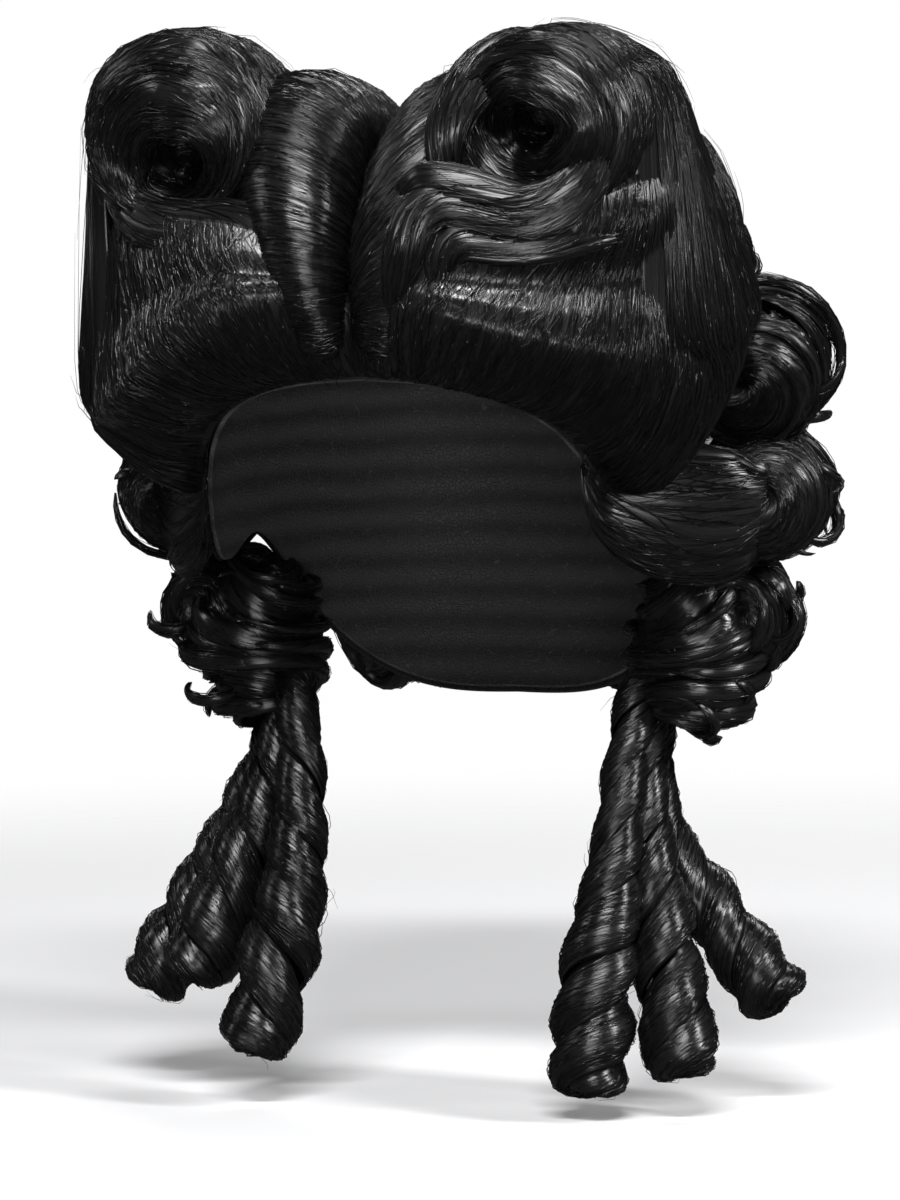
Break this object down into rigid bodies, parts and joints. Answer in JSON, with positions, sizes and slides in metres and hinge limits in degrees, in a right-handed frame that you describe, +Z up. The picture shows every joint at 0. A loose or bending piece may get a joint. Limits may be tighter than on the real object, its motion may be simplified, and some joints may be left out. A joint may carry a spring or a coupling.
{
  "type": "baroque wig",
  "caption": "Black costume wig with two tall rolled halves parted over the brow, curls at the sides and back, and hanging ringlets, on an open net cap.",
  "frame": {"origin": "inside of the cap's crown, where the top of the head sits", "axes": "+X to the wearer's left, -Y to the front, +Z up"},
  "size_m": [0.2626, 0.2599, 0.3707],
  "materials": {
    "hair": "glossy black synthetic hair, combed in fine strands",
    "cap_net": "matt black elastic net"
  },
  "bodies": {
    "root": {"cap": "cap_net", "back_hair": "hair", "top_roll_left": "hair", "crown_wave_left": "hair", "under_wave_left": "hair", "front_swell_left": "hair", "temple_wave_left": "hair", "side_curl_left_1": "hair", "side_curl_left_2": "hair", "side_curl_left_3": "hair", "side_curl_left_4": "hair", "side_curl_left_5": "hair", "ringlet_left_front": "hair", "ringlet_left_middle": "hair", "ringlet_left_back": "hair", "top_roll_right": "hair", "crown_wave_right": "hair", "under_wave_right": "hair", "front_swell_right": "hair", "temple_wave_right": "hair", "side_curl_right_1": "hair", "side_curl_right_2": "hair", "side_curl_right_3": "hair", "side_curl_right_4": "hair", "side_curl_right_5": "hair", "ringlet_right_front": "hair", "ringlet_right_middle": "hair", "ringlet_right_back": "hair", "back_curl_1_1": "hair", "back_curl_1_2": "hair", "back_curl_1_3": "hair", "back_curl_2_1": "hair", "back_curl_2_2": "hair", "back_curl_2_3": "hair", "back_curl_2_4": "hair", "back_curl_3_1": "hair", "back_curl_3_2": "hair", "back_curl_3_3": "hair", "back_curl_4_1": "hair", "back_curl_4_2": "hair"}
  },
  "joints": []
}
